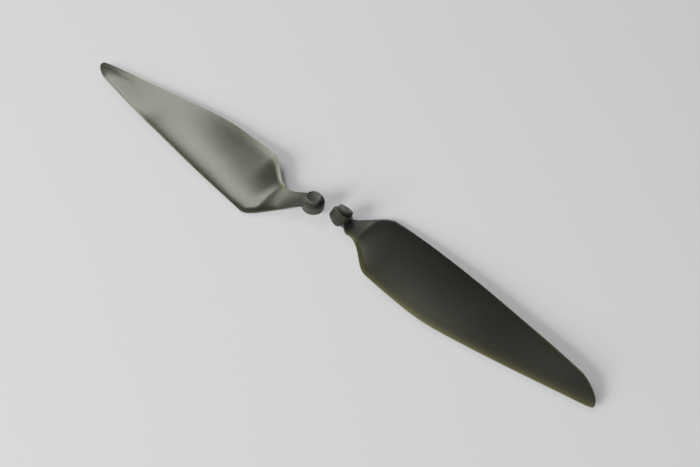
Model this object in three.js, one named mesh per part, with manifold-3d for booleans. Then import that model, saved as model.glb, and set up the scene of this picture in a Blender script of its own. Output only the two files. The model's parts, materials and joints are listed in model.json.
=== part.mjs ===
// A pair of folding propeller blades for a model aircraft or drone, lying loose on a table, tips outward.
// Millimetres, +Z up. The pair's long way is X, the table is z = 0, and the origin is the footprint's middle.
import * as THREE from 'three';
import { mergeVertices } from 'three/addons/utils/BufferGeometryUtils.js';
import Module from 'manifold-3d';

const wasm = await Module();
wasm.setup();

// ---- driving dimensions -------------------------------------------------------------------------------------

const bladeReach = 125;          // the blade's datum to the trailing corner of the tip
const geometricPitch = 161;      // advance per turn that sets the twist
const twistRadiusShift = 28;     // distance added to the span when the twist is worked out
const tipWashout = THREE.MathUtils.degToRad(9); // twist taken off towards the tip
const washoutStart = 80;
const washoutEnd = 120;
const twistAxisY = -2.6;         // sideways place of the twist axis, from the blade's datum
const rootAxisHeight = 1.1;      // height of the twist axis over the datum, inboard
const bowStart = 40;             // the blade bows up between these distances from the datum
const bowEnd = 80;
const bow = 0.9;
const tipDrop = 1.8;             // and drops by this much from the bow to the tip
const rootMiddle = 3.5;          // chordwise offset of the shank's middle, which meets the hinge centre
const edgeThickness = 0.5;       // thickness left at the leading and trailing edges
const greatestCamber = 0.05;     // height of the mean line, as a share of the chord
const camberPlace = 50;          // distance from the datum at which the camber is greatest

// Edges of the planform, as chordwise offsets from the twist axis.
// Leading edge: a neck, a shoulder, a slow taper.
const datumLead = 9;
const neckLeadSlope = 0.3;
const shoulderStart = 6.5;
const shoulderEnd = 19;
const bladeLead = 21.4;
const leadTaperStart = 35;
const leadTaper = 3.9;           // how far the edge has fallen back at the end of the blade
// Trailing edge: a neck, a belly, and a straight run that the belly bends into.
const datumTrail = -1;
const neckTrailSlope = 0.2;
const bellyStart = 9.5;
const bellyEnd = 27.5;
const bellyTrail = -8.1;
const trailSlope = 0.262;
const trailBendPlace = 55.5;     // where the belly's line and the straight run would cross
const trailBendLength = 10;

const shankStart = 1.5;          // from the hinge centre: the shank begins inside the knuckle
const shankRounding = 3;         // length over which the shank's inner end grows to its full width
const shankEndShare = 0.7;       // width of that end, as a share of the full width
const neckEnd = 9.5;             // where the shank has turned from the hinge into the blade's own twist
const shankBlendEnd = 17;        // where the shank has become a full aerofoil
const tipArcStart = 114;         // where the edges start to curve into the tip
const tipMeet = 11;              // chordwise offset at which the edges meet at the end of the blade
const tipLeadingPower = 1.45;    // the leading edge turns in on a near round arc
const tipTrailingPower = 9;      // the trailing edge keeps straight until close to the end
const tipStations = 7;           // sections that follow the tip's arc
const spanStations = 30;         // sections from the shank to the tip's arc
const sectionSides = 24;         // points round one section

const knuckleRadius = 4.8;
const knuckleHalfHeight = 2.3;
const knuckleRound = 0.7;        // round on the knuckle's rims
const boreRadius = 2.5;
const recessRadius = 4.1;        // room for the washers and the head where the shank is deeper than the knuckle
const cutReach = 9;              // half-length of the cuts through the knuckle
const stackHalfHeight = 4.2;     // half of the hinge's full height over pin head and pin end
const pinRadius = 1.5;
const pinHeadRadius = 3.4;
const pinHeadThickness = 1.0;
const pinHeadChamfer = 0.4;
const pinGrooveRadius = 1.1;
const pinGrooveBottom = -3.95;
const pinGrooveTop = -3.15;
const bushInnerRadius = 1.8;
const bushOuterRadius = 2.2;
const washerInnerRadius = 1.8;
const washerOuterRadius = 3.7;
const washerThickness = 0.35;
const washerLift = 2.6;          // from the hinge centre to a washer's near face
const clipInnerRadius = 1.4;
const clipOuterRadius = 2.6;
const clipThickness = 0.35;
const clipBottom = -3.7;
const clipOpening = THREE.MathUtils.degToRad(80);
const roundSides = 28;

const bladeRoll = THREE.MathUtils.degToRad(20.1); // how a blade settles on its leading root and trailing tip
const bladeDroop = THREE.MathUtils.degToRad(2.9); // tip lower than the hinge
const rightToe = THREE.MathUtils.degToRad(0.8);   // angle between the right blade and the pair's long way
const datumX = 6.8;              // each blade's datum, from the middle of the pair before it is centred
const datumY = 2.4;

// Each hinge in its blade's own frame: x along the span, y towards the leading edge, and the tilt of its axis
// against the blade's own Z, about the span. The two blades carry their hinges at different places and angles.
const hinges = {
  right: { x: 2, y: 2.4, z: -0.9, tilt: THREE.MathUtils.degToRad(-72) },
  left: { x: -2.9, y: -3.5, z: 1.3, tilt: THREE.MathUtils.degToRad(-8) },
};

// Greatest thickness of the section, as [distance from the datum, thickness].
const thickness = [[0, 4.4], [6, 4.4], [12, 3.6], [18, 2.6], [30, 2], [60, 1.5], [95, 1], [125, 0.7]];

// ---- shapes -------------------------------------------------------------------------------------------------

// Smooth curve through the points, read at one place.
function along(points, place) {
  let i = 0;
  while (i < points.length - 2 && place > points[i + 1][0]) i += 1;
  const slope = (k) => {
    const before = points[Math.max(k - 1, 0)];
    const after = points[Math.min(k + 1, points.length - 1)];
    return (after[1] - before[1]) / (after[0] - before[0]);
  };
  const [x0, y0] = points[i];
  const [x1, y1] = points[i + 1];
  const width = x1 - x0;
  const t = THREE.MathUtils.clamp((place - x0) / width, 0, 1);
  const rise = y0 * (2 * t ** 3 - 3 * t ** 2 + 1) + y1 * (3 * t ** 2 - 2 * t ** 3);
  return rise + width * (slope(i) * (t ** 3 - 2 * t ** 2 + t) + slope(i + 1) * (t ** 3 - t ** 2));
}

function twist(span) {
  const helix = Math.atan(geometricPitch / (2 * Math.PI * (span + twistRadiusShift)));
  return tipWashout * THREE.MathUtils.smoothstep(span, washoutStart, washoutEnd) - helix;
}

function leadingEdge(span) {
  const neck = datumLead + neckLeadSlope * span;
  const share = Math.max(span - leadTaperStart, 0) / (bladeReach - leadTaperStart);
  const blade = bladeLead - leadTaper * share ** 2;
  return THREE.MathUtils.lerp(neck, blade, THREE.MathUtils.smoothstep(span, shoulderStart, shoulderEnd));
}

function trailingEdge(span) {
  const neck = datumTrail + neckTrailSlope * span;
  const beyond = span - trailBendPlace;
  const blade = bellyTrail + trailSlope * (beyond + Math.hypot(beyond, trailBendLength)) / 2;
  return THREE.MathUtils.lerp(neck, blade, THREE.MathUtils.smoothstep(span, bellyStart, bellyEnd));
}

// Height of the twist axis over the datum, beyond the root.
function axisHeight(span) {
  const share = Math.max(span - bowEnd, 0) / (bladeReach - bowEnd);
  return rootAxisHeight + bow * THREE.MathUtils.smoothstep(span, bowStart, bowEnd) - tipDrop * share ** 2;
}

// The camber grows from none at the datum, and has gone again at the tip.
function camber(span) {
  const grown = THREE.MathUtils.smoothstep(span, 0, camberPlace);
  return greatestCamber * (grown - THREE.MathUtils.smoothstep(span, camberPlace, bladeReach));
}

// Half-thickness of an aerofoil as a share of its greatest, from the leading edge (0) to the trailing edge (1).
function aerofoilShape(u) {
  return 9.97 * (0.2969 * Math.sqrt(u) - 0.126 * u - 0.3516 * u ** 2 + 0.2843 * u ** 3 - 0.1036 * u ** 4);
}

// The same for the shank, which has a full, rounded section.
function shankShape(u) {
  return (1 - (2 * u - 1) ** 4) ** 0.25;
}

// Both edges turn in to meet at the end of the blade, the trailing edge far more sharply than the leading edge.
function edgeOffset(edge, span, power) {
  const straight = edge(span);
  if (span <= tipArcStart) return straight;
  const share = (span - tipArcStart) / (bladeReach - tipArcStart);
  const kept = Math.sqrt(Math.max(1 - share ** power, 0.002));
  return tipMeet + (straight - tipMeet) * kept;
}

function bladeSection(span, hinge) {
  const share = THREE.MathUtils.clamp((span - hinge.x - shankStart) / shankRounding, 0, 1);
  const full = THREE.MathUtils.lerp(shankEndShare, 1, Math.sqrt(share * (2 - share)));
  const lead = THREE.MathUtils.lerp(rootMiddle, edgeOffset(leadingEdge, span, tipLeadingPower), full);
  const trail = THREE.MathUtils.lerp(rootMiddle, edgeOffset(trailingEdge, span, tipTrailingPower), full);
  const chord = lead - trail;
  const grown = THREE.MathUtils.smoothstep(span, hinge.x + shankStart, shankBlendEnd);
  const edge = Math.min(edgeThickness, along(thickness, span));
  const half = Math.min(along(thickness, span), edge + 0.16 * chord) / 2;
  const settled = THREE.MathUtils.smoothstep(span, hinge.x + shankStart, neckEnd);
  const angle = THREE.MathUtils.lerp(hinge.tilt, twist(span), settled);
  const axisY = THREE.MathUtils.lerp(hinge.y - rootMiddle * Math.cos(hinge.tilt), twistAxisY, settled);
  const axisZ = THREE.MathUtils.lerp(
    hinge.z - rootMiddle * Math.sin(hinge.tilt),
    axisHeight(span),
    settled,
  );
  const points = [];
  for (let k = 0; k < sectionSides; k += 1) {
    const turn = 2 * Math.PI * k / sectionSides;
    const u = (1 - Math.cos(turn)) / 2;
    const side = Math.sign(Math.sin(turn));
    const shape = THREE.MathUtils.lerp(shankShape(u), aerofoilShape(u), grown);
    const body = Math.abs(side) * Math.max(half * shape, grown * edge / 2);
    const mean = camber(span) * chord * grown * 4 * u * (1 - u);
    const across = lead - chord * u;
    const up = mean + side * body;
    points.push(new THREE.Vector3(
      span,
      axisY + across * Math.cos(angle) - up * Math.sin(angle),
      axisZ + across * Math.sin(angle) + up * Math.cos(angle),
    ));
  }
  return points;
}

// Closed skin over a row of rings that all have the same number of points.
function loft(rings) {
  const sides = rings[0].length;
  const positions = rings.flat().flatMap((point) => [point.x, point.y, point.z]);
  const indices = [];
  for (let i = 0; i < rings.length - 1; i += 1) {
    for (let k = 0; k < sides; k += 1) {
      const a = i * sides + k;
      const b = i * sides + (k + 1) % sides;
      indices.push(a, b, a + sides, b, b + sides, a + sides);
    }
  }
  const last = (rings.length - 1) * sides;
  for (let k = 1; k < sides - 1; k += 1) {
    indices.push(0, k + 1, k);
    indices.push(last, last + k, last + k + 1);
  }
  const geometry = new THREE.BufferGeometry();
  geometry.setAttribute('position', new THREE.Float32BufferAttribute(positions, 3));
  geometry.setIndex(indices);
  return geometry;
}

function bladeRings(hinge) {
  const rings = [];
  for (let i = 0; i <= spanStations; i += 1) {
    const share = i / spanStations;
    rings.push(bladeSection(THREE.MathUtils.lerp(hinge.x + shankStart, tipArcStart, share ** 1.45), hinge));
  }
  for (let i = 1; i <= tipStations; i += 1) {
    const share = Math.sin(i / tipStations * Math.PI / 2);
    rings.push(bladeSection(THREE.MathUtils.lerp(tipArcStart, bladeReach, share), hinge));
  }
  return rings;
}

// Round body about Z from a profile of [radius, height] that starts and ends on the axis or closes on itself.
function turned(profile) {
  const geometry = new THREE.LatheGeometry(profile.map(([r, z]) => new THREE.Vector2(r, z)), roundSides);
  return geometry.rotateX(Math.PI / 2);
}

function ring(inner, outer, bottom, height) {
  const top = bottom + height;
  return turned([[inner, bottom], [outer, bottom], [outer, top], [inner, top], [inner, bottom]]);
}

function toSolid(geometry) {
  const bare = geometry.clone();
  bare.deleteAttribute('normal');
  bare.deleteAttribute('uv');
  const merged = mergeVertices(bare, 1e-4);
  const mesh = new wasm.Mesh({
    numProp: 3,
    vertProperties: new Float32Array(merged.attributes.position.array),
    triVerts: new Uint32Array(merged.index.array),
  });
  return new wasm.Manifold(mesh);
}

function fromSolid(solid) {
  const mesh = solid.getMesh();
  const geometry = new THREE.BufferGeometry();
  geometry.setAttribute('position', new THREE.Float32BufferAttribute(mesh.vertProperties, 3));
  geometry.setIndex(Array.from(mesh.triVerts));
  return geometry;
}

function knuckleProfile() {
  const profile = [[0, -knuckleHalfHeight]];
  for (let i = 0; i <= 4; i += 1) {
    const turn = i / 4 * Math.PI / 2;
    profile.push([
      knuckleRadius - knuckleRound + knuckleRound * Math.sin(turn),
      -knuckleHalfHeight + knuckleRound - knuckleRound * Math.cos(turn),
    ]);
  }
  for (let i = 0; i <= 4; i += 1) {
    const turn = i / 4 * Math.PI / 2;
    profile.push([
      knuckleRadius - knuckleRound + knuckleRound * Math.cos(turn),
      knuckleHalfHeight - knuckleRound + knuckleRound * Math.sin(turn),
    ]);
  }
  profile.push([0, knuckleHalfHeight]);
  return profile;
}

// ---- pieces -------------------------------------------------------------------------------------------------

function cylinder(radius, bottom, top) {
  return turned([[0, bottom], [radius, bottom], [radius, top], [0, top]]);
}

// Turns a piece that is drawn about Z onto a hinge.
function onHinge(geometry, hinge) {
  return geometry.rotateX(hinge.tilt).translate(hinge.x, hinge.y, hinge.z);
}

function bladeGeometry(hinge) {
  const cuts = [
    cylinder(boreRadius, -cutReach, cutReach),
    cylinder(recessRadius, knuckleHalfHeight, cutReach),
    cylinder(recessRadius, -cutReach, -knuckleHalfHeight),
  ];
  let solid = toSolid(loft(bladeRings(hinge))).add(toSolid(onHinge(turned(knuckleProfile()), hinge)));
  for (const cut of cuts) {
    solid = solid.subtract(toSolid(onHinge(cut, hinge)));
  }
  return fromSolid(solid);
}

function pinGeometry() {
  const headBottom = stackHalfHeight - pinHeadThickness;
  return turned([
    [0, -stackHalfHeight],
    [pinRadius, -stackHalfHeight],
    [pinRadius, pinGrooveBottom],
    [pinGrooveRadius, pinGrooveBottom],
    [pinGrooveRadius, pinGrooveTop],
    [pinRadius, pinGrooveTop],
    [pinRadius, headBottom],
    [pinHeadRadius, headBottom],
    [pinHeadRadius, stackHalfHeight - pinHeadChamfer],
    [pinHeadRadius - pinHeadChamfer, stackHalfHeight],
    [0, stackHalfHeight],
  ]);
}

function clipGeometry() {
  const start = clipOpening / 2;
  const end = 2 * Math.PI - clipOpening / 2;
  const outline = new THREE.Shape();
  outline.absarc(0, 0, clipOuterRadius, start, end, false);
  outline.absarc(0, 0, clipInnerRadius, end, start, true);
  outline.closePath();
  const geometry = new THREE.ExtrudeGeometry(outline, {
    depth: clipThickness,
    bevelEnabled: false,
    curveSegments: roundSides / 2,
  });
  return geometry.translate(0, 0, clipBottom);
}

const looks = {
  nylon: { color: 0x5c5f50, roughness: 0.42, metalness: 0 },
  steel: { color: 0x8b8d8c, roughness: 0.35, metalness: 1 },
  blackSteel: { color: 0x2f302e, roughness: 0.5, metalness: 1 },
  brass: { color: 0xb59a56, roughness: 0.35, metalness: 1 },
  acetal: { color: 0x33342f, roughness: 0.5, metalness: 0 },
};

function piece(name, geometry, look) {
  const mesh = new THREE.Mesh(geometry, new THREE.MeshStandardMaterial(looks[look]));
  mesh.name = name;
  return mesh;
}

function hingedBlade(side, toe) {
  const place = hinges[side];
  const hinge = new THREE.Group();
  hinge.rotation.x = place.tilt;
  hinge.position.set(place.x, place.y, place.z);
  const washer = (bottom) => ring(washerInnerRadius, washerOuterRadius, bottom, washerThickness);
  const bush = ring(bushInnerRadius, bushOuterRadius, -knuckleHalfHeight, 2 * knuckleHalfHeight);
  hinge.add(
    piece(`${side}_hinge_bush`, bush, 'brass'),
    piece(`${side}_hinge_pin`, pinGeometry(), 'blackSteel'),
    piece(`${side}_upper_washer`, washer(washerLift), 'acetal'),
    piece(`${side}_lower_washer`, washer(-washerLift - washerThickness), 'acetal'),
    piece(`${side}_retaining_clip`, clipGeometry(), 'steel'),
  );
  const group = new THREE.Group();
  group.add(piece(`${side}_blade`, bladeGeometry(place), 'nylon'), hinge);
  group.rotation.set(bladeRoll, bladeDroop, toe, 'ZYX');
  group.position.set(datumX, datumY, 0);
  return group;
}

function halfTurn(group) {
  const turnedRound = new THREE.Group();
  turnedRound.add(group);
  turnedRound.rotation.z = Math.PI;
  return turnedRound;
}

const pair = new THREE.Group();
pair.add(hingedBlade('right', rightToe), halfTurn(hingedBlade('left', 0)));
pair.updateMatrixWorld(true);
const box = new THREE.Box3().setFromObject(pair, true);
const centre = box.getCenter(new THREE.Vector3());
pair.position.set(-centre.x, -centre.y, -box.min.z);
pair.updateMatrixWorld(true);

export default pair;
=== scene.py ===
"""A pair of folding propeller blades lying loose on a pale table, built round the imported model."""
import json
import math

import bpy
from mathutils import Matrix, Vector


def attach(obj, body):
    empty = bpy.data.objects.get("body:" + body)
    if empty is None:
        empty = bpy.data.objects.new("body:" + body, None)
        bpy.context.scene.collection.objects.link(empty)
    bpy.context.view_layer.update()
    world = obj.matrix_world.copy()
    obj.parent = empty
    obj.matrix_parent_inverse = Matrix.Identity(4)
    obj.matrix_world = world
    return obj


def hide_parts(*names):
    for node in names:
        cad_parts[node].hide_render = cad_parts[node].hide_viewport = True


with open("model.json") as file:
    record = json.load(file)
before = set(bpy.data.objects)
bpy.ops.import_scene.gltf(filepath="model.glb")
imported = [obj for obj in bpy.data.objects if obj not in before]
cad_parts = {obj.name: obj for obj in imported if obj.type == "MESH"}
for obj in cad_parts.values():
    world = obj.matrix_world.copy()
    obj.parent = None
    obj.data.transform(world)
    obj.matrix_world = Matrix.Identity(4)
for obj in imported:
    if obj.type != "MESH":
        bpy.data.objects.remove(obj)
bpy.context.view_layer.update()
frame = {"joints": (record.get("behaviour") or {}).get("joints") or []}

MM = 0.001

# ---- the blade's driving dimensions, in millimetres ----------------------------------------------

BLADE_REACH = 125.0           # the blade's datum to the trailing corner of the tip
GEOMETRIC_PITCH = 161.0
TWIST_RADIUS_SHIFT = 28.0
TWIST_AXIS_Y = -2.6
TIP_WASHOUT = math.radians(9)
WASHOUT_START = 80.0
WASHOUT_END = 120.0
ROOT_AXIS_HEIGHT = 1.1
BOW_START = 40.0
BOW_END = 80.0
BOW = 0.9
TIP_DROP = 1.8
ROOT_MIDDLE = 3.5
EDGE_THICKNESS = 0.5
THICKENING = 0.16             # most that a section is thicker than its edge, as a share of its chord
GREATEST_CAMBER = 0.05
CAMBER_PLACE = 50.0

DATUM_LEAD = 9.0              # leading edge: a neck, a shoulder, a slow taper
NECK_LEAD_SLOPE = 0.3
SHOULDER_START = 6.5
SHOULDER_END = 19.0
BLADE_LEAD = 21.4
LEAD_TAPER_START = 35.0
LEAD_TAPER = 3.9
DATUM_TRAIL = -1.0            # trailing edge: a neck, a belly, and a straight run that it bends into
NECK_TRAIL_SLOPE = 0.2
BELLY_START = 9.5
BELLY_END = 27.5
BELLY_TRAIL = -8.1
TRAIL_SLOPE = 0.262
TRAIL_BEND_PLACE = 55.5
TRAIL_BEND_LENGTH = 10.0

SHANK_START = 1.5
SHANK_ROUNDING = 3.0
SHANK_END_SHARE = 0.7
NECK_END = 9.5
SHANK_BLEND_END = 17.0
SHANK_POWER = 4               # 2 would make the shank's section an ellipse, and 4 makes it squarer
TIP_ARC_START = 114.0
TIP_MEET = 11.0               # chordwise offset that the edges close towards
TIP_LEADING_POWER = 1.45
TIP_TRAILING_POWER = 9.0
TIP_LEAST = 0.002             # keeps the last section from closing to a line
TRAILING_GLOW_DEPTH = 1.3     # how far in from an edge the painted glow, which stands in for light shining through the thin moulding, reaches
LEADING_GLOW_DEPTH = 0.4
LEADING_GLOW = 0.5            # how strong the painted glow is at the leading edge, where the trailing edge's is 1
KNUCKLE_RADIUS = 4.8
KNUCKLE_HALF_HEIGHT = 2.3
KNUCKLE_ROUND = 0.7
BORE_RADIUS = 2.5
RECESS_RADIUS = 4.1
CUT_REACH = 9.0               # how far the cutters of bore and recesses reach from the knuckle's middle
STACK_HALF_HEIGHT = 4.2
PIN_RADIUS = 1.5
PIN_HEAD_RADIUS = 3.4
PIN_HEAD_THICKNESS = 1.0
PIN_GROOVE_RADIUS = 1.1
PIN_GROOVE_BOTTOM = -3.95
PIN_GROOVE_TOP = -3.15
PIN_END_INSET = 0.15          # the chamfer of the pin's end, across and along
PIN_END_LENGTH = 0.12
HEAD_LOWER_ROUND = 0.08
HEAD_UPPER_ROUND = 0.3
HEAD_RIM = 0.75               # the head's edge to the step in its face
HEAD_STEP_WIDTH = 0.1
HEAD_STEP_DEPTH = 0.07
DIMPLE_RADIUS = 0.5
DIMPLE_FLOOR_RADIUS = 0.42
DIMPLE_WALL_DEPTH = 0.14
DIMPLE_DEPTH = 0.2
BUSH_INNER = 1.8
BUSH_OUTER = 2.2
BUSH_EDGE_ROUND = 0.06
WASHER_INNER = 1.8
WASHER_OUTER = 3.7
WASHER_THICKNESS = 0.35
WASHER_LIFT = 2.6
WASHER_EDGE_ROUND = 0.07
CLIP_INNER = 1.4
CLIP_OUTER = 2.6
CLIP_THICKNESS = 0.35
CLIP_BOTTOM = -3.7
CLIP_OPENING = math.radians(80)
CLIP_EDGE_ROUND = 0.06

HINGES = {                    # in a blade's own frame: x along the span, y towards the leading edge, z up
    "right": {"x": 2.0, "y": 2.4, "z": -0.9, "tilt": math.radians(-72)},
    "left": {"x": -2.9, "y": -3.5, "z": 1.3, "tilt": math.radians(-8)},
}
BLADE_ROLL = math.radians(20.1)
BLADE_DROOP = math.radians(2.9)
YAW = {"right": math.radians(0.8), "left": math.pi}      # each blade's turn about Z

THICKNESS = ((0, 4.4), (6, 4.4), (12, 3.6), (18, 2.6), (30, 2), (60, 1.5), (95, 1), (125, 0.7))

# ---- how finely the pieces are drawn -------------------------------------------------------------

SPAN_STATIONS = 150
STATION_CROWDING = 1.25       # over 1, the stations stand closer together near the root
TIP_STATIONS = 26
SECTION_SIDES = 72
ROUND_SIDES = 96
CLIP_SIDES = 48
SHARP_ANGLE = math.radians(40)

# ---- camera, light and floor, in metres ----------------------------------------------------------

CAMERA_PLACE = (0.1464, -0.1311, 0.309)
CAMERA_AIM = (0.0147, 0.0039, 0)
CAMERA_AZIMUTH = math.radians(44.3)
SENSOR_WIDTH = 36             # in millimetres, as is the focal length
FOCAL_LENGTH = 45

STRIP_COLOUR = (0.99, 1, 0.86)
STRIP_AZIMUTH = CAMERA_AZIMUTH - math.radians(4.5)
WORLD_COLOUR = (0.9, 0.92, 0.95, 1)
WORLD_STRENGTH = 0.2
FLOOR_HALF_WIDTH = 1.6
FLOOR_DROP = 0.0001           # the floor lies just under the surface that the frame is measured from


# ---- small helpers -------------------------------------------------------------------------------

def along(points, place):
    """Smooth curve through the points, read at one place."""
    i = 0
    while i < len(points) - 2 and place > points[i + 1][0]:
        i += 1

    def slope(k):
        before = points[max(k - 1, 0)]
        after = points[min(k + 1, len(points) - 1)]
        return (after[1] - before[1]) / (after[0] - before[0])

    x0, y0 = points[i]
    x1, y1 = points[i + 1]
    width = x1 - x0
    t = min(max((place - x0) / width, 0), 1)
    rise = y0 * (2 * t**3 - 3 * t**2 + 1) + y1 * (3 * t**2 - 2 * t**3)
    return rise + width * (slope(i) * (t**3 - 2 * t**2 + t) + slope(i + 1) * (t**3 - t**2))


def smoothstep(x, low, high):
    """0 up to low, 1 from high on, and a smooth rise between them."""
    t = min(max((x - low) / (high - low), 0), 1)
    return t * t * (3 - 2 * t)


def mesh_object(name, vertices, faces):
    mesh = bpy.data.meshes.new(name)
    mesh.from_pydata(vertices, [], faces)
    mesh.update()
    obj = bpy.data.objects.new(name, mesh)
    bpy.context.scene.collection.objects.link(obj)
    return obj


# ---- blade ---------------------------------------------------------------------------------------

def twist(span):
    """Angle of a section: a helix of one pitch, flattened towards the tip."""
    helix = math.atan(GEOMETRIC_PITCH / (2 * math.pi * (span + TWIST_RADIUS_SHIFT)))
    return TIP_WASHOUT * smoothstep(span, WASHOUT_START, WASHOUT_END) - helix


def leading_edge(span):
    neck = DATUM_LEAD + NECK_LEAD_SLOPE * span
    share = max(span - LEAD_TAPER_START, 0) / (BLADE_REACH - LEAD_TAPER_START)
    blade = BLADE_LEAD - LEAD_TAPER * share**2
    return neck + (blade - neck) * smoothstep(span, SHOULDER_START, SHOULDER_END)


def trailing_edge(span):
    neck = DATUM_TRAIL + NECK_TRAIL_SLOPE * span
    beyond = span - TRAIL_BEND_PLACE
    blade = BELLY_TRAIL + TRAIL_SLOPE * (beyond + math.hypot(beyond, TRAIL_BEND_LENGTH)) / 2
    return neck + (blade - neck) * smoothstep(span, BELLY_START, BELLY_END)


def axis_height(span):
    """Height of the twist axis over the datum, beyond the root."""
    share = max(span - BOW_END, 0) / (BLADE_REACH - BOW_END)
    return ROOT_AXIS_HEIGHT + BOW * smoothstep(span, BOW_START, BOW_END) - TIP_DROP * share**2


def camber(span):
    """Greatest height of the mean line, as a share of the chord: none at the datum and none at the tip."""
    risen = smoothstep(span, 0, CAMBER_PLACE)
    fallen = smoothstep(span, CAMBER_PLACE, BLADE_REACH)
    return GREATEST_CAMBER * (risen - fallen)


def aerofoil_shape(u):
    """Half thickness of a NACA four-digit section, scaled so that the greatest is about 1."""
    scale = 9.97
    return scale * (0.2969 * math.sqrt(u) - 0.126 * u - 0.3516 * u**2 + 0.2843 * u**3 - 0.1036 * u**4)


def edge_offset(edge, span, power):
    """Chordwise offset of an edge, which turns in near the end of the blade."""
    straight = edge(span)
    if span <= TIP_ARC_START:
        return straight
    share = (span - TIP_ARC_START) / (BLADE_REACH - TIP_ARC_START)
    kept = math.sqrt(max(1 - share**power, TIP_LEAST))
    return TIP_MEET + (straight - TIP_MEET) * kept


def section_edges(span, hinge):
    """Chordwise offsets of a section's leading and trailing edges, which turn in at the shank's end too."""
    share = min(max((span - hinge["x"] - SHANK_START) / SHANK_ROUNDING, 0), 1)
    full = SHANK_END_SHARE + (1 - SHANK_END_SHARE) * math.sqrt(share * (2 - share))
    lead = ROOT_MIDDLE + (edge_offset(leading_edge, span, TIP_LEADING_POWER) - ROOT_MIDDLE) * full
    trail = ROOT_MIDDLE + (edge_offset(trailing_edge, span, TIP_TRAILING_POWER) - ROOT_MIDDLE) * full
    return lead, trail


def section_place(span, hinge):
    """A section's angle, and the place that its chord is measured from.

    Both settle along the neck, from the hinge's to the blade's.
    """
    tilt = hinge["tilt"]
    settled = smoothstep(span, hinge["x"] + SHANK_START, NECK_END)
    angle = tilt + (twist(span) - tilt) * settled
    root_y = hinge["y"] - ROOT_MIDDLE * math.cos(tilt)
    root_z = hinge["z"] - ROOT_MIDDLE * math.sin(tilt)
    axis_y = root_y + (TWIST_AXIS_Y - root_y) * settled
    axis_z = root_z + (axis_height(span) - root_z) * settled
    return angle, axis_y, axis_z


def edge_glow(from_leading, from_trailing):
    """Painted glow of light shining through the thin moulding, from 0 to 1, at given distances from the two
    edges.
    """
    leading = LEADING_GLOW * math.exp(-from_leading / LEADING_GLOW_DEPTH)
    trailing = math.exp(-from_trailing / TRAILING_GLOW_DEPTH)
    return min(trailing + leading, 1)


def blade_section(span, hinge):
    """Points round one section, how strong the painted edge glow is at each, and how much the section is
    blade.

    The last two run from 0 to 1. A section that isn't blade yet is shank.
    """
    lead, trail = section_edges(span, hinge)
    angle, axis_y, axis_z = section_place(span, hinge)
    chord = lead - trail
    grown = smoothstep(span, hinge["x"] + SHANK_START, SHANK_BLEND_END)
    half = min(along(THICKNESS, span), EDGE_THICKNESS + THICKENING * chord) / 2
    points = []
    painted_glow = []
    for k in range(SECTION_SIDES):
        turn = 2 * math.pi * k / SECTION_SIDES
        u = (1 - math.cos(turn)) / 2
        side = 0 if k in (0, SECTION_SIDES // 2) else math.copysign(1, math.sin(turn))
        shank = (1 - (2 * u - 1)**SHANK_POWER)**(1 / SHANK_POWER)
        shape = shank + (aerofoil_shape(u) - shank) * grown
        body = max(half * shape, grown * EDGE_THICKNESS / 2)
        mean = camber(span) * chord * grown * 4 * u * (1 - u)
        across = lead - chord * u
        up = mean + side * body
        points.append((
            span,
            axis_y + across * math.cos(angle) - up * math.sin(angle),
            axis_z + across * math.sin(angle) + up * math.cos(angle),
        ))
        painted_glow.append(edge_glow(chord * u, chord * (1 - u)) * grown)
    return points, painted_glow, grown


def blade_stations(start):
    """Places along the span at which a section is drawn, from the shank's start to the tip."""
    spans = []
    for i in range(SPAN_STATIONS + 1):
        share = (i / SPAN_STATIONS) ** STATION_CROWDING
        spans.append(start + (TIP_ARC_START - start) * share)
    for i in range(1, TIP_STATIONS + 1):
        share = math.sin(i / TIP_STATIONS * math.pi / 2)
        spans.append(TIP_ARC_START + (BLADE_REACH - TIP_ARC_START) * share)
    return spans


def blade_mesh(hinge):
    """Vertices and faces of the blade without its knuckle, and two numbers for each vertex."""
    spans = blade_stations(hinge["x"] + SHANK_START)
    vertices = []
    painted_glow = []
    skin = []
    for span in spans:
        points, glow, grown = blade_section(span, hinge)
        vertices += points
        painted_glow += glow
        skin += [grown] * SECTION_SIDES
    faces = []
    sides = SECTION_SIDES
    for i in range(len(spans) - 1):
        for k in range(sides):
            a = i * sides + k
            b = i * sides + (k + 1) % sides
            faces.append((a, b, b + sides, a + sides))
    last = (len(spans) - 1) * sides
    faces.append(tuple(range(sides - 1, -1, -1)))
    faces.append(tuple(last + k for k in range(sides)))
    # the first of the two numbers is painted light: a glow that stands in for light shining through the
    # thin edges
    return vertices, faces, {"painted_edge_glow": painted_glow, "blade_skin": skin}


def turned(name, profile):
    """Round body about Z from a profile of (radius, height).

    A profile that starts on the axis, at radius 0, also ends there. Any other profile closes on itself.
    """
    solid = profile[0][0] == 0
    rows = profile[1:-1] if solid else profile
    sides = ROUND_SIDES
    vertices = []
    for r, z in rows:
        for k in range(sides):
            turn = 2 * math.pi * k / sides
            vertices.append((r * math.cos(turn), r * math.sin(turn), z))
    faces = []
    for i in range(len(rows) - 1 if solid else len(rows)):
        j = (i + 1) % len(rows)
        for k in range(sides):
            m = (k + 1) % sides
            faces.append((i * sides + k, i * sides + m, j * sides + m, j * sides + k))
    if solid:
        bottom = len(vertices)
        vertices += [(0, 0, profile[0][1]), (0, 0, profile[-1][1])]
        last = (len(rows) - 1) * sides
        for k in range(sides):
            m = (k + 1) % sides
            faces.append((bottom, m, k))
            faces.append((bottom + 1, last + k, last + m))
    return mesh_object(name, vertices, faces)


def round_corner(r, z, radius, start, end, steps=5):
    """Points of a profile's rounded corner. (r, z) is its centre, and start and end are in degrees."""
    out = []
    for i in range(steps + 1):
        turn = math.radians(start + (end - start) * i / steps)
        out.append((r + radius * math.cos(turn), z + radius * math.sin(turn)))
    return out


# ---- materials -----------------------------------------------------------------------------------

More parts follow.
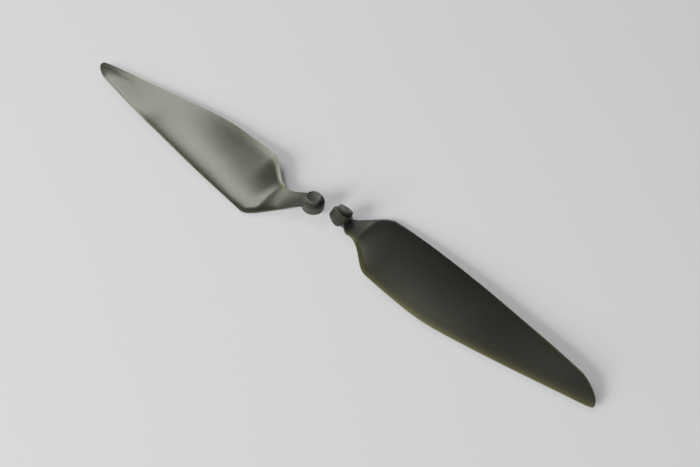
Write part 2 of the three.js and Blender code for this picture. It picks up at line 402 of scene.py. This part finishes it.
class Nodes:
    """A material's node tree, with short ways to add and join nodes."""

    def __init__(self, name):
        self.material = bpy.data.materials.new(name)
        self.material.use_nodes = True
        self.tree = self.material.node_tree
        self.shader = self.tree.nodes["Principled BSDF"]
        self.where = self.add("ShaderNodeTexCoord")

    def add(self, kind, **values):
        node = self.tree.nodes.new(kind)
        for key, value in values.items():
            setattr(node, key, value)
        return node

    def join(self, source, target):
        self.tree.links.new(source, target)

    def noise(self, scale, detail=3, stretch=(1, 1, 1)):
        mapping = self.add("ShaderNodeMapping")
        mapping.inputs["Scale"].default_value = stretch
        self.join(self.where.outputs["Object"], mapping.inputs["Vector"])
        noise = self.add("ShaderNodeTexNoise")
        noise.inputs["Scale"].default_value = scale
        noise.inputs["Detail"].default_value = detail
        self.join(mapping.outputs["Vector"], noise.inputs["Vector"])
        return noise.outputs["Fac"]

    def spread(self, value, low, high):
        """Value from 0 to 1, spread over low to high. Each limit is a number or another node's output."""
        node = self.add("ShaderNodeMapRange")
        for limit, socket in ((low, node.inputs["To Min"]), (high, node.inputs["To Max"])):
            if isinstance(limit, float):
                socket.default_value = limit
            else:
                self.join(limit, socket)
        self.join(value, node.inputs["Value"])
        return node.outputs["Result"]

    def blend(self, share, first, second):
        """Colour mixed from first to second by share. Each is a colour or another node's output."""
        node = self.add("ShaderNodeMix", data_type="RGBA")
        sockets = {socket.identifier: socket for socket in node.inputs}
        self.join(share, sockets["Factor_Float"])
        for colour, socket in ((first, sockets["A_Color"]), (second, sockets["B_Color"])):
            if isinstance(colour, tuple):
                socket.default_value = (*colour, 1)
            else:
                self.join(colour, socket)
        return next(socket for socket in node.outputs if socket.identifier == "Result_Color")

    def bump(self, height, strength, distance, below=None):
        node = self.add("ShaderNodeBump")
        node.inputs["Strength"].default_value = strength
        node.inputs["Distance"].default_value = distance
        self.join(height, node.inputs["Height"])
        if below is not None:
            self.join(below, node.inputs["Normal"])
        return node.outputs["Normal"]


def nylon_material():
    """Dark olive glass-filled nylon, satin on the blade and duller on the shank.

    Its thin edges are painted yellower, a painted glow that stands in for light shining through them.
    """
    n = Nodes("moulded_nylon")
    cloudy = n.noise(scale=60, detail=4, stretch=(0.4, 1, 1))
    body = n.blend(cloudy, (0.0105, 0.011, 0.0082), (0.0145, 0.0152, 0.0112))
    # painted light: the edges are blended to a yellow olive that stands in for light shining through the
    # thin moulding
    painted_glow = n.add("ShaderNodeAttribute", attribute_name="painted_edge_glow").outputs["Fac"]
    n.join(n.blend(painted_glow, body, (0.06, 0.06, 0.026)), n.shader.inputs["Base Color"])
    patchy = n.noise(scale=90, detail=5, stretch=(0.5, 1, 1))
    satin = n.spread(patchy, low=0.22, high=0.28)
    skin = n.add("ShaderNodeAttribute", attribute_name="blade_skin").outputs["Fac"]
    n.join(n.spread(skin, low=0.6, high=satin), n.shader.inputs["Roughness"])
    grain = n.noise(scale=5200, detail=2)
    streaks = n.noise(scale=260, stretch=(0.08, 1, 1))
    fine = n.bump(grain, strength=0.1, distance=0.00004)
    flow = n.bump(streaks, strength=0.05, distance=0.0002, below=fine)
    n.join(flow, n.shader.inputs["Normal"])
    return n.material


def metal_material(name, dark, light, smoothest, roughest, metallic=1.0):
    """Metal with fine machining marks and slightly uneven colour. A blackened skin is less metallic."""
    n = Nodes(name)
    n.join(n.blend(n.noise(scale=700, detail=4), dark, light), n.shader.inputs["Base Color"])
    n.join(n.spread(n.noise(scale=1600), smoothest, roughest), n.shader.inputs["Roughness"])
    marks = n.noise(scale=4000, detail=2, stretch=(1, 1, 0.2))
    n.join(n.bump(marks, strength=0.12, distance=0.00003), n.shader.inputs["Normal"])
    n.shader.inputs["Metallic"].default_value = metallic
    return n.material


def acetal_material():
    n = Nodes("washer_acetal")
    colour = n.blend(n.noise(scale=500), (0.028, 0.029, 0.024), (0.05, 0.052, 0.043))
    n.join(colour, n.shader.inputs["Base Color"])
    n.join(n.spread(n.noise(scale=1500), low=0.4, high=0.55), n.shader.inputs["Roughness"])
    n.join(n.bump(n.noise(scale=5000), strength=0.1, distance=0.00003), n.shader.inputs["Normal"])
    return n.material


def floor_material():
    n = Nodes("pale_floor")
    colour = n.blend(n.noise(scale=9), (0.74, 0.74, 0.75), (0.78, 0.78, 0.79))
    n.join(colour, n.shader.inputs["Base Color"])
    grain = n.noise(scale=900, detail=2)
    n.join(n.bump(grain, strength=0.25, distance=0.0002), n.shader.inputs["Normal"])
    n.shader.inputs["Roughness"].default_value = 0.9
    n.shader.inputs["Specular IOR Level"].default_value = 0.15
    return n.material


NYLON = nylon_material()
PIN_STEEL = metal_material(
    "pin_steel",
    dark=(0.03, 0.031, 0.026),
    light=(0.05, 0.052, 0.044),
    smoothest=0.5,
    roughest=0.65,
    metallic=0.25,
)
CLIP_STEEL = metal_material(
    "clip_steel",
    dark=(0.05, 0.05, 0.047),
    light=(0.1, 0.1, 0.095),
    smoothest=0.35,
    roughest=0.5,
)
BRASS = metal_material(
    "bush_brass",
    dark=(0.5, 0.36, 0.14),
    light=(0.64, 0.47, 0.2),
    smoothest=0.25,
    roughest=0.4,
)
ACETAL = acetal_material()


# ---- pieces --------------------------------------------------------------------------------------

JOINTS = {joint["name"]: joint for joint in frame["joints"]}


def hinge_matrix(side):
    """Places a piece that is drawn in millimetres about its hinge axis."""
    centre = Vector(JOINTS[f"{side}_fold"]["pos_m"])
    turn = (
        Matrix.Rotation(YAW[side], 4, "Z")
        @ Matrix.Rotation(BLADE_DROOP, 4, "Y")
        @ Matrix.Rotation(BLADE_ROLL + HINGES[side]["tilt"], 4, "X")
    )
    return Matrix.Translation(centre) @ turn @ Matrix.Scale(MM, 4)


def from_datum(side):
    """Moves a piece that is drawn in the blade's own frame to the frame of its hinge."""
    hinge = HINGES[side]
    to_hinge = Matrix.Translation((-hinge["x"], -hinge["y"], -hinge["z"]))
    return Matrix.Rotation(-hinge["tilt"], 4, "X") @ to_hinge


def boolean(target, tool, operation):
    """Joins the tool to the target or cuts it out of it, and removes the tool."""
    modifier = target.modifiers.new("cut", "BOOLEAN")
    modifier.operation = operation
    modifier.solver = "EXACT"
    modifier.object = tool
    graph = bpy.context.evaluated_depsgraph_get()
    graph.update()
    mesh = bpy.data.meshes.new_from_object(target.evaluated_get(graph), depsgraph=graph)
    target.modifiers.remove(modifier)
    target.data = mesh
    bpy.data.objects.remove(tool)


def finish_piece(piece, side, material):
    """Moves a piece from its hinge's frame to its place, and gives it its material and smooth shading."""
    piece.data.transform(hinge_matrix(side))
    piece.data.materials.append(material)
    piece.data.shade_smooth()
    piece.data.set_sharp_from_angle(angle=SHARP_ANGLE)


def add_knuckle(blade):
    """Joins the drum round the hinge to the blade, and cuts its bore and the washers' recesses."""
    rim = KNUCKLE_RADIUS - KNUCKLE_ROUND
    top = KNUCKLE_HALF_HEIGHT
    profile = [(0, -top), (BORE_RADIUS, -top)]
    profile += round_corner(rim, -top + KNUCKLE_ROUND, KNUCKLE_ROUND, -90, 0)
    profile += round_corner(rim, top - KNUCKLE_ROUND, KNUCKLE_ROUND, 0, 90)
    profile += [(BORE_RADIUS, top), (0, top)]
    boolean(blade, turned("knuckle", profile), "UNION")
    cuts = (
        (BORE_RADIUS, -CUT_REACH, CUT_REACH),
        (RECESS_RADIUS, top, CUT_REACH),
        (RECESS_RADIUS, -CUT_REACH, -top),
    )
    for radius, low, high in cuts:
        cutter = turned("cutter", [(0, low), (radius, low), (radius, high), (0, high)])
        boolean(blade, cutter, "DIFFERENCE")


def make_blade(side):
    vertices, faces, attributes = blade_mesh(HINGES[side])
    blade = mesh_object(f"{side}_blade_moulding", vertices, faces)
    for name, values in attributes.items():
        attribute = blade.data.attributes.new(name, "FLOAT", "POINT")
        attribute.data.foreach_set("value", values)
    blade.data.transform(from_datum(side))
    add_knuckle(blade)
    finish_piece(blade, side, NYLON)
    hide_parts(f"{side}_blade")
    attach(blade, f"{side}_swing")


def ring_profile(inner, outer, bottom, height, radius):
    """Square ring with rounded edges."""
    top = bottom + height
    return (
        round_corner(outer - radius, bottom + radius, radius, -90, 0)
        + round_corner(outer - radius, top - radius, radius, 0, 90)
        + round_corner(inner + radius, top - radius, radius, 90, 180)
        + round_corner(inner + radius, bottom + radius, radius, 180, 270)
    )


def place_hardware(piece, side, node, material, body):
    """Finishes a pin, ring or clip, which stands for a CAD node and rides on a body."""
    finish_piece(piece, side, material)
    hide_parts(node)
    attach(piece, body)


def make_pin(side):
    """Headed pin: a disc with a turned face and a dimple, a plain shank, and a groove for the clip."""
    high = STACK_HALF_HEIGHT
    head_bottom = high - PIN_HEAD_THICKNESS
    face = high - HEAD_STEP_DEPTH
    rim = PIN_HEAD_RADIUS - HEAD_RIM
    lower = HEAD_LOWER_ROUND
    upper = HEAD_UPPER_ROUND
    profile = [(0, -high), (PIN_RADIUS - PIN_END_INSET, -high), (PIN_RADIUS, -high + PIN_END_LENGTH)]
    profile += [(PIN_RADIUS, PIN_GROOVE_BOTTOM), (PIN_GROOVE_RADIUS, PIN_GROOVE_BOTTOM)]
    profile += [(PIN_GROOVE_RADIUS, PIN_GROOVE_TOP), (PIN_RADIUS, PIN_GROOVE_TOP)]
    profile += [(PIN_RADIUS, head_bottom)]
    profile += round_corner(PIN_HEAD_RADIUS - lower, head_bottom + lower, lower, -90, 0, steps=3)
    profile += round_corner(PIN_HEAD_RADIUS - upper, high - upper, upper, 0, 90, steps=6)
    profile += [(rim, high), (rim - HEAD_STEP_WIDTH, face), (DIMPLE_RADIUS, face)]
    profile += [(DIMPLE_FLOOR_RADIUS, high - DIMPLE_WALL_DEPTH), (0, high - DIMPLE_DEPTH)]
    pin = turned(f"{side}_pin", profile)
    place_hardware(pin, side, f"{side}_hinge_pin", PIN_STEEL, "pins")


def make_rings(side):
    for level, bottom in (("upper", WASHER_LIFT), ("lower", -WASHER_LIFT - WASHER_THICKNESS)):
        profile = ring_profile(WASHER_INNER, WASHER_OUTER, bottom, WASHER_THICKNESS, WASHER_EDGE_ROUND)
        washer = turned(f"{side}_{level}_thrust_washer", profile)
        place_hardware(washer, side, f"{side}_{level}_washer", ACETAL, "pins")
    bottom = -KNUCKLE_HALF_HEIGHT
    profile = ring_profile(BUSH_INNER, BUSH_OUTER, bottom, 2 * KNUCKLE_HALF_HEIGHT, BUSH_EDGE_ROUND)
    bush = turned(f"{side}_bush", profile)
    place_hardware(bush, side, f"{side}_hinge_bush", BRASS, f"{side}_swing")


def make_clip(side):
    """Open spring clip with rounded edges."""
    inner = []
    outer = []
    steps = CLIP_SIDES
    for i in range(steps + 1):
        turn = CLIP_OPENING / 2 + (2 * math.pi - CLIP_OPENING) * i / steps
        inner.append((CLIP_INNER * math.cos(turn), CLIP_INNER * math.sin(turn)))
        outer.append((CLIP_OUTER * math.cos(turn), CLIP_OUTER * math.sin(turn)))
    outline = outer + inner[::-1]
    count = len(outline)
    vertices = [(x, y, CLIP_BOTTOM) for x, y in outline]
    vertices += [(x, y, CLIP_BOTTOM + CLIP_THICKNESS) for x, y in outline]
    faces = []
    for i in range(count):
        j = (i + 1) % count
        faces.append((i, j, count + j, count + i))
    for i in range(steps):
        far = 2 * steps + 1 - i
        faces.append((i + 1, i, far, far - 1))
        faces.append((count + i, count + i + 1, count + far - 1, count + far))
    clip = mesh_object(f"{side}_spring_clip", vertices, faces)
    bevel = clip.modifiers.new("edges", "BEVEL")
    bevel.width = CLIP_EDGE_ROUND
    bevel.segments = 2
    bevel.limit_method = "ANGLE"
    graph = bpy.context.evaluated_depsgraph_get()
    clip.data = bpy.data.meshes.new_from_object(clip.evaluated_get(graph), depsgraph=graph)
    clip.modifiers.clear()
    place_hardware(clip, side, f"{side}_retaining_clip", CLIP_STEEL, "pins")


for side in ("right", "left"):
    make_blade(side)
    make_pin(side)
    make_rings(side)
    make_clip(side)


# ---- stage, light and camera ---------------------------------------------------------------------

def make_floor():
    half = FLOOR_HALF_WIDTH
    corners = [(-half, -half, 0), (half, -half, 0), (half, half, 0), (-half, half, 0)]
    floor = mesh_object("table", corners, [(0, 1, 2, 3)])
    floor.location.z = -FLOOR_DROP
    floor.data.materials.append(floor_material())


def make_world():
    world = bpy.data.worlds.new("studio")
    world.use_nodes = True
    background = world.node_tree.nodes["Background"]
    background.inputs["Color"].default_value = WORLD_COLOUR
    background.inputs["Strength"].default_value = WORLD_STRENGTH
    bpy.context.scene.world = world


def facing(place, target):
    """Turn of a lamp or a camera at a place, so that it faces the target."""
    return (Vector(target) - Vector(place)).to_track_quat("-Z", "Y").to_euler()


def make_camera():
    data = bpy.data.cameras.new("camera")
    data.sensor_width = SENSOR_WIDTH
    data.lens = FOCAL_LENGTH
    camera = bpy.data.objects.new("camera", data)
    bpy.context.scene.collection.objects.link(camera)
    camera.location = CAMERA_PLACE
    camera.rotation_euler = facing(CAMERA_PLACE, CAMERA_AIM)
    bpy.context.scene.camera = camera


def area_light(name, place, size, power, colour=(1, 1, 1), diffuse=True, gloss=True):
    """Rectangular light that faces the frame's origin."""
    light = bpy.data.lights.new(name, "AREA")
    light.shape = "RECTANGLE"
    light.size, light.size_y = size
    light.energy = power
    light.color = colour
    obj = bpy.data.objects.new(name, light)
    bpy.context.scene.collection.objects.link(obj)
    obj.location = place
    obj.rotation_euler = facing(place, (0, 0, 0))
    obj.visible_diffuse = diffuse
    obj.visible_glossy = gloss
    return obj


def from_camera(right, ahead, up):
    """A place given as the camera sees it, in metres: to its right, away from it, and up."""
    turn = Matrix.Rotation(CAMERA_AZIMUTH, 3, "Z")
    return turn @ Vector((right, ahead, up))


def make_lights():
    """Two lights shade the blades, and a long strip that faces down makes the bright bands on them."""
    area_light("key", from_camera(-0.75, -0.5, 0.44), size=(0.5, 0.5), power=33, gloss=False)
    area_light("overhead", from_camera(-0.4, 0.35, 0.75), size=(0.6, 0.6), power=6, gloss=False)
    above = from_camera(-0.24, 1.28, 0.9)
    strip = area_light("strip", above, size=(0.16, 2.84), power=20, colour=STRIP_COLOUR, diffuse=False)
    strip.rotation_euler = (0, 0, STRIP_AZIMUTH)


make_floor()
make_world()
make_camera()
make_lights()

bpy.context.view_layer.update()
